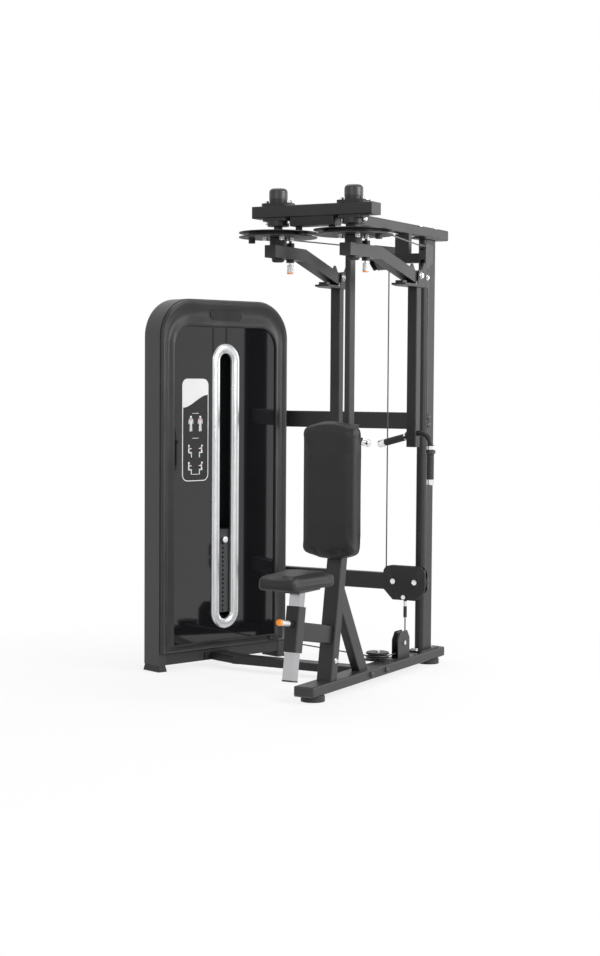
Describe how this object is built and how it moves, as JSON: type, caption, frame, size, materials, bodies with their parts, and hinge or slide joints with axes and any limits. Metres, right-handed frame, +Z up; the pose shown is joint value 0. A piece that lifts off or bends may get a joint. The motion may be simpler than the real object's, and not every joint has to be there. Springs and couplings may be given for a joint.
{
  "type": "pec fly machine",
  "caption": "Seated pec fly and rear delt machine: two swinging arms on overhead cams, leaning seat frame and a shrouded weight tower.",
  "frame": {"origin": "centre of the front floor pad's underside", "axes": "+Z up, +Y from the seat back to the rear column, +X the seated user's left; the weight tower stands on the -X side"},
  "size_m": [1.3717, 1.594, 2.1],
  "materials": {
    "frame_black": "satin powder coat",
    "arm_black": "satin powder coat",
    "pad_vinyl": "matte vinyl",
    "rubber": "matte",
    "chrome": "polished",
    "stack_iron": "painted satin",
    "pulley_nylon": "satin moulded",
    "cable_black": "coated steel cable",
    "shroud_plastic": "satin moulded",
    "panel_gloss": "black gloss",
    "ring_silver": "satin silver",
    "placard_white": "printed",
    "cap_plastic": "moulded",
    "pin_steel": "turned"
  },
  "bodies": {
    "frame": {"arm_cables": "cable_black", "back_pad": "pad_vinyl", "base_beam": "frame_black", "base_cable_fall": "cable_black", "base_pulley_brackets": "frame_black", "cable_falls": "cable_black", "cross_beams": "frame_black", "end_caps": "cap_plastic", "floor_pads": "rubber", "frame_bolts": "chrome", "front_bezel": "shroud_plastic", "front_column": "frame_black", "front_panel": "panel_gloss", "guide_rods": "chrome", "link_beam": "frame_black", "pad_mounts": "frame_black", "pivot_beam": "frame_black", "pivot_bearings": "frame_black", "placard": "placard_white", "rear_column": "frame_black", "rear_cover": "frame_black", "seat_sleeve": "frame_black", "seat_upright": "frame_black", "slot_ring": "ring_silver", "stack_bumpers": "rubber", "stack_cable": "cable_black", "stack_cable_fall": "cable_black", "top_boom": "frame_black", "top_pulley_hanger": "frame_black", "tower_cross_bars": "frame_black", "tower_frame": "frame_black", "tower_pulley_brackets": "frame_black", "upright_brace": "frame_black", "weight_plates": "stack_iron"},
    "stack": {"lifted_weights": "stack_iron"},
    "selector": {"selector_pin": "pin_steel"},
    "cam_left": {"cam_left": "arm_black"},
    "cam_right": {"cam_right": "arm_black"},
    "arm_left": {"arm_left": "arm_black"},
    "arm_right": {"arm_right": "arm_black"},
    "index_pin_left": {"index_pin_left": "pin_steel"},
    "index_pin_right": {"index_pin_right": "pin_steel"},
    "lower_arm_left": {"lower_arm_left": "arm_black", "grips_left": "rubber"},
    "lower_arm_right": {"lower_arm_right": "arm_black", "grips_right": "rubber"},
    "block": {"pulley_block": "arm_black", "block_cable": "cable_black", "block_pulley_left": "pulley_nylon", "block_pulley_right": "pulley_nylon"},
    "top_pulley_left": {"top_pulley_left": "pulley_nylon"},
    "top_pulley_right": {"top_pulley_right": "pulley_nylon"},
    "base_pulley": {"base_pulley": "pulley_nylon"},
    "flat_pulley": {"flat_pulley": "pulley_nylon"},
    "tower_low_pulley": {"tower_low_pulley": "pulley_nylon"},
    "tower_top_pulley_a": {"tower_top_pulley_a": "pulley_nylon"},
    "tower_top_pulley_b": {"tower_top_pulley_b": "pulley_nylon"},
    "seat": {"seat_post": "chrome", "seat_pad": "pad_vinyl"},
    "seat_pin": {"seat_pin": "pin_steel"}
  },
  "joints": [
    {"name": "stack_lift", "type": "slide", "parent": "frame", "child": "stack", "axis": [0, 0, 1], "range_m": [0, 0.209], "deforming": ["stack_cable_fall"]},
    {"name": "selector_pull", "type": "slide", "parent": "stack", "child": "selector", "axis": [0.9441, -0.3297, 0], "range_m": [0, 0.06]},
    {"name": "block_lift", "type": "slide", "parent": "frame", "child": "block", "axis": [0, 0, 1], "range_m": [0, 0.209], "deforming": ["cable_falls", "base_cable_fall"]},
    {"name": "cam_left_turn", "type": "hinge", "parent": "frame", "child": "cam_left", "pos_m": [-0.173, -0.006, 1.91], "axis": [0, 0, 1], "range_deg": [0, 100]},
    {"name": "cam_right_turn", "type": "hinge", "parent": "frame", "child": "cam_right", "pos_m": [0.173, -0.006, 1.91], "axis": [0, 0, 1], "range_deg": [-100, 0]},
    {"name": "arm_left_index", "type": "hinge", "parent": "cam_left", "child": "arm_left", "pos_m": [-0.173, -0.006, 1.841], "axis": [0, 0, 1], "range_deg": [0, 75]},
    {"name": "arm_right_index", "type": "hinge", "parent": "cam_right", "child": "arm_right", "pos_m": [0.173, -0.006, 1.841], "axis": [0, 0, 1], "range_deg": [-75, 0]},
    {"name": "index_pin_right_slide", "type": "slide", "parent": "arm_right", "child": "index_pin_right", "axis": [0, 0, -1], "range_m": [0, 0.008]},
    {"name": "lower_arm_right_swing", "type": "hinge", "parent": "arm_right", "child": "lower_arm_right", "pos_m": [0.18632, 0.54684, 1.768], "axis": [0.9997, -0.0241, 0], "range_deg": [-5, 8]},
    {"name": "index_pin_left_slide", "type": "slide", "parent": "arm_left", "child": "index_pin_left", "axis": [0, 0, -1], "range_m": [0, 0.008]},
    {"name": "lower_arm_left_swing", "type": "hinge", "parent": "arm_left", "child": "lower_arm_left", "pos_m": [-0.18632, 0.54684, 1.768], "axis": [0.9997, 0.0241, 0], "range_deg": [-5, 8]},
    {"name": "top_pulley_right_spin", "type": "hinge", "parent": "frame", "child": "top_pulley_right", "pos_m": [0.1065, 0.84055, 1.8665], "axis": [0.9759, 0.2183, 0], "continuous": true},
    {"name": "top_pulley_left_spin", "type": "hinge", "parent": "frame", "child": "top_pulley_left", "pos_m": [-0.1065, 0.84055, 1.8665], "axis": [0.9759, -0.2183, 0], "continuous": true},
    {"name": "base_pulley_spin", "type": "hinge", "parent": "frame", "child": "base_pulley", "pos_m": [0, 0.8395, 0.1355], "axis": [1, 0, 0], "continuous": true},
    {"name": "flat_pulley_spin", "type": "hinge", "parent": "frame", "child": "flat_pulley", "pos_m": [-0.048, 0.7, 0.092], "axis": [0, 0, 1], "continuous": true},
    {"name": "tower_low_pulley_spin", "type": "hinge", "parent": "frame", "child": "tower_low_pulley", "pos_m": [-0.75961, 0.89766, 0.1355], "axis": [0.3297, 0.9441, 0], "continuous": true},
    {"name": "tower_top_pulley_a_spin", "type": "hinge", "parent": "frame", "child": "tower_top_pulley_a", "pos_m": [-0.80945, 0.8694, 1.58], "axis": [0.9795, -0.2016, 0], "continuous": true},
    {"name": "tower_top_pulley_b_spin", "type": "hinge", "parent": "frame", "child": "tower_top_pulley_b", "pos_m": [-0.84819, 0.68122, 1.58], "axis": [0.9795, -0.2016, 0], "continuous": true},
    {"name": "seat_height", "type": "slide", "parent": "frame", "child": "seat", "axis": [0, 0.1719, 0.9851], "range_m": [-0.05, 0.1]},
    {"name": "seat_pin_press", "type": "slide", "parent": "frame", "child": "seat_pin", "axis": [0, 0.9851, -0.1719], "range_m": [0, 0.008]}
  ],
  "couplings": [
    {"joint": "block_lift", "follows": "stack_lift", "ratio": 1},
    {"joint": "cam_left_turn", "follows": "stack_lift", "rad_per_m": 8.3333},
    {"joint": "cam_right_turn", "follows": "stack_lift", "rad_per_m": -8.3333},
    {"joint": "top_pulley_right_spin", "follows": "stack_lift", "rad_per_m": 22.989},
    {"joint": "top_pulley_left_spin", "follows": "stack_lift", "rad_per_m": 22.989},
    {"joint": "base_pulley_spin", "follows": "stack_lift", "rad_per_m": 22.989},
    {"joint": "flat_pulley_spin", "follows": "stack_lift", "rad_per_m": 20.833},
    {"joint": "tower_low_pulley_spin", "follows": "stack_lift", "rad_per_m": -22.989},
    {"joint": "tower_top_pulley_a_spin", "follows": "stack_lift", "rad_per_m": -22.989},
    {"joint": "tower_top_pulley_b_spin", "follows": "stack_lift", "rad_per_m": -22.989}
  ]
}
